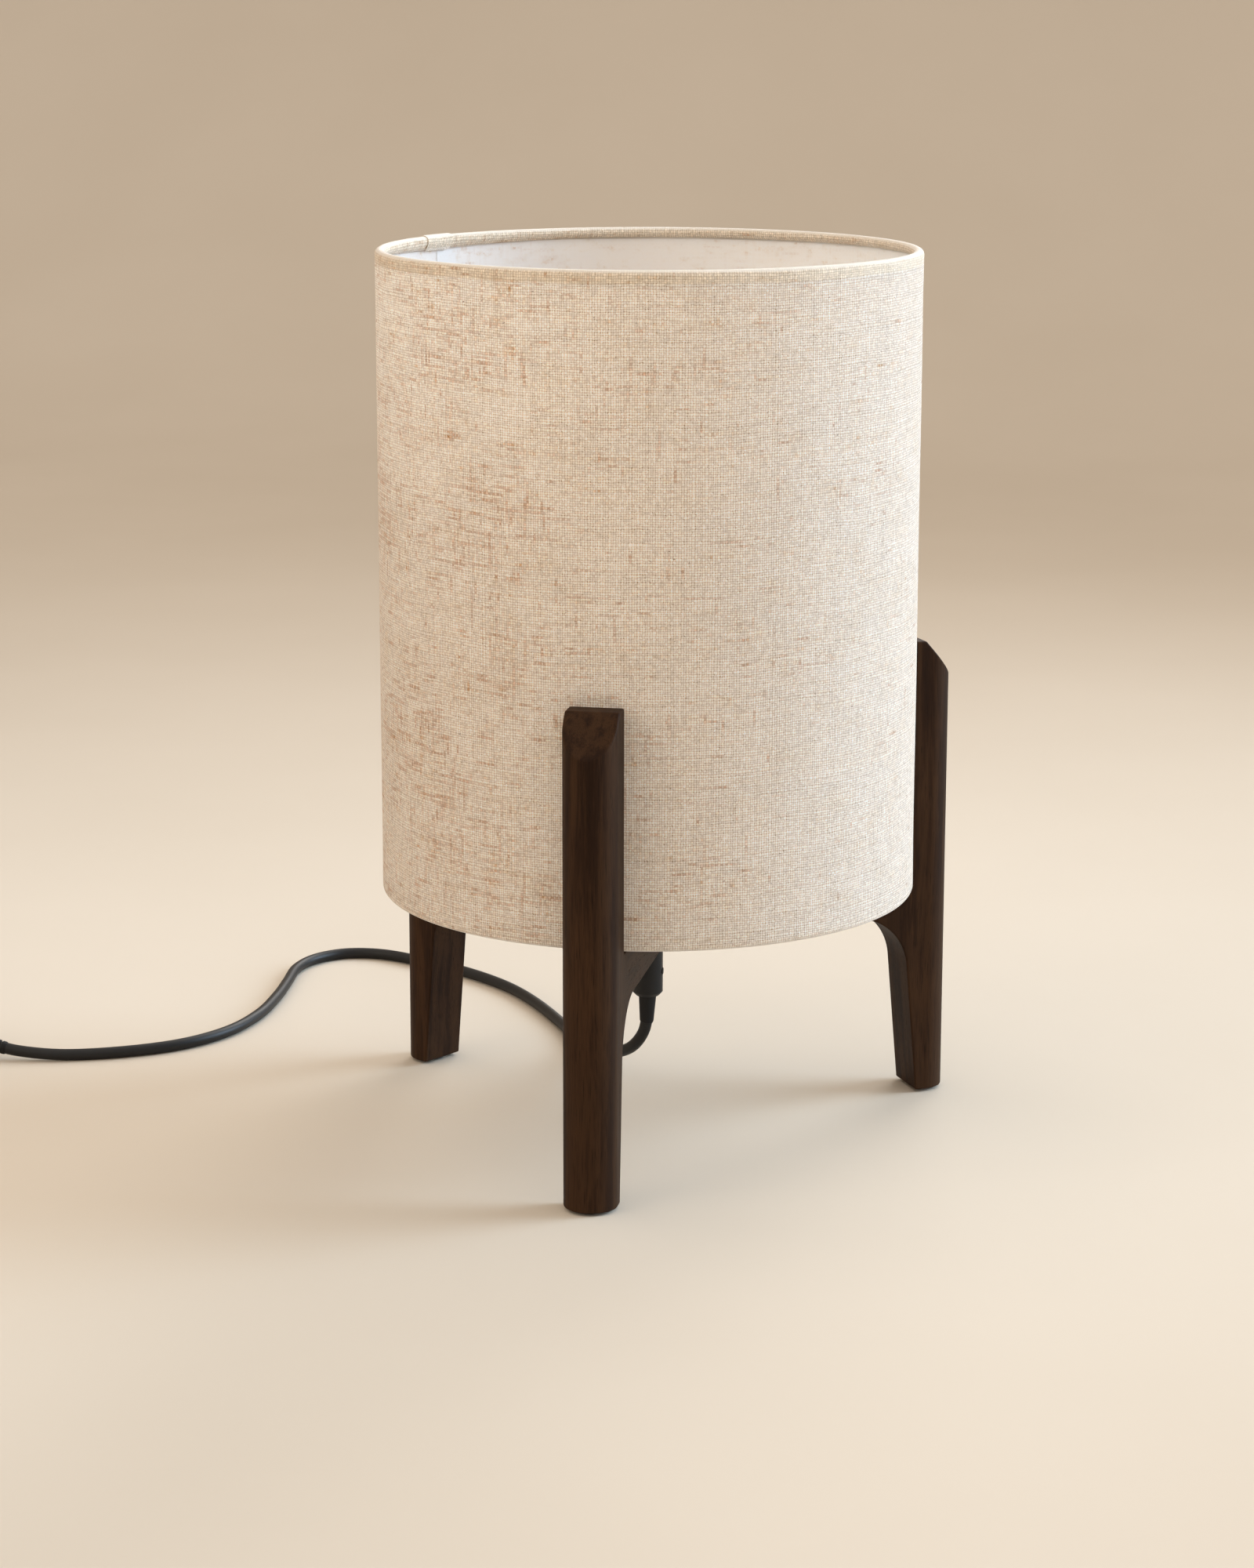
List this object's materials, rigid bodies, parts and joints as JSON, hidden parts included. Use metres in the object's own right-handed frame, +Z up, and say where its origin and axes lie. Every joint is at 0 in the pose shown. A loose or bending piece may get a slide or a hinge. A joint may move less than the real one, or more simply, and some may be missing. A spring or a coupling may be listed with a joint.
{
  "type": "tripod table lamp",
  "caption": "Small table lamp with a tall linen drum shade held between dark wooden tripod legs, with a screw-base bulb and a mains lead with inline switch.",
  "frame": {"origin": "point where the lamp axis meets the surface it stands on", "axes": "+Z up along the lamp axis; the front leg stands on -Y, the other two at 30 and 150 degrees from +X; the lead runs off towards -X"},
  "size_m": [0.5804, 0.3528, 0.3631],
  "materials": {
    "dark_wood": "satin stained walnut",
    "foot_felt": "dense felt",
    "black_steel": "matt powder coat",
    "zinc_steel": "zinc plated",
    "black_plastic": "matt",
    "black_rubber": "matt",
    "holder_plastic": "thermoset, matt",
    "white_ceramic": "unglazed",
    "brass": "bright",
    "brown_insulation": "satin",
    "blue_insulation": "satin",
    "linen": "plain-weave linen",
    "linen_hem": "plain-weave linen, turned in",
    "lining": "white lining film",
    "white_wire": "white powder coat",
    "bulb_glass": "clear",
    "nickel_cap": "rolled",
    "black_glass": "vitrified insulator",
    "solder": "tinned",
    "filament": "phosphor-coated LED rod",
    "cord_black": "matt PVC",
    "tie_black": "nylon",
    "switch_plastic": "fine-textured",
    "plug_plastic": "moulded",
    "pin_nickel": "nickel plated brass"
  },
  "bodies": {
    "base": {"leg_front": "dark_wood", "leg_right": "dark_wood", "leg_left": "dark_wood", "foot_pads": "foot_felt", "hub_plate": "black_steel", "hub_screws": "zinc_steel", "threaded_tube": "zinc_steel", "tube_washer": "zinc_steel", "tube_nut": "zinc_steel", "cord_grip": "black_plastic", "grip_screw": "black_plastic", "grip_sleeve": "black_rubber", "holder_cap": "holder_plastic", "holder_skirt": "holder_plastic", "contact_carrier": "white_ceramic", "screw_shell": "brass", "centre_contact": "brass", "terminal_screws": "zinc_steel", "lead_brown": "brown_insulation", "lead_blue": "blue_insulation", "cord_run": "cord_black", "switch_base": "switch_plastic", "switch_cover": "switch_plastic", "switch_pin": "zinc_steel", "switch_screws": "zinc_steel", "switch_sleeves": "black_rubber", "switch_contacts": "brass", "cord_link": "cord_black", "cord_coil": "cord_black", "cable_tie": "tie_black", "cord_tail": "cord_black", "plug_sleeve": "black_rubber", "plug_body": "plug_plastic", "pin_collars": "black_plastic", "plug_pins": "pin_nickel"},
    "shade": {"shade_linen": "linen", "shade_lining": "lining", "rim_wire_top": "white_wire", "rim_wire_bottom": "white_wire", "hem_top": "linen_hem", "hem_bottom": "linen_hem", "overlap_seam": "lining", "spider": "white_wire", "fitter_ring": "white_wire"},
    "shade_ring": {"retaining_ring": "holder_plastic"},
    "bulb_lift": {"bulb_insulator": "black_glass", "bulb_contact": "solder"},
    "bulb_turn": {"bulb_glass": "bulb_glass", "bulb_cap": "nickel_cap", "bulb_stem": "bulb_glass", "bulb_filaments": "filament"},
    "rocker": {"switch_rocker": "switch_plastic"}
  },
  "joints": [
    {"name": "shade_lift", "type": "slide", "parent": "base", "child": "shade", "axis": [0, 0, 1], "range_m": [0, 0.15]},
    {"name": "ring_turn", "type": "hinge", "parent": "shade", "child": "shade_ring", "pos_m": [0, 0, 0.132], "axis": [0, 0, 1], "range_deg": [0, 1080]},
    {"name": "bulb_rise", "type": "slide", "parent": "base", "child": "bulb_lift", "axis": [0, 0, 1], "range_m": [0, 0.0182]},
    {"name": "bulb_screw", "type": "hinge", "parent": "bulb_lift", "child": "bulb_turn", "pos_m": [0, 0, 0.145], "axis": [0, 0, 1], "range_deg": [0, 1800]},
    {"name": "rocker_tilt", "type": "hinge", "parent": "base", "child": "rocker", "pos_m": [-0.342, 0.024, 0.0142], "axis": [0, 1, 0], "range_deg": [0, 14]}
  ],
  "couplings": [
    {"joint": "bulb_rise", "follows": "bulb_screw", "m_per_rad": 0.00057757}
  ]
}
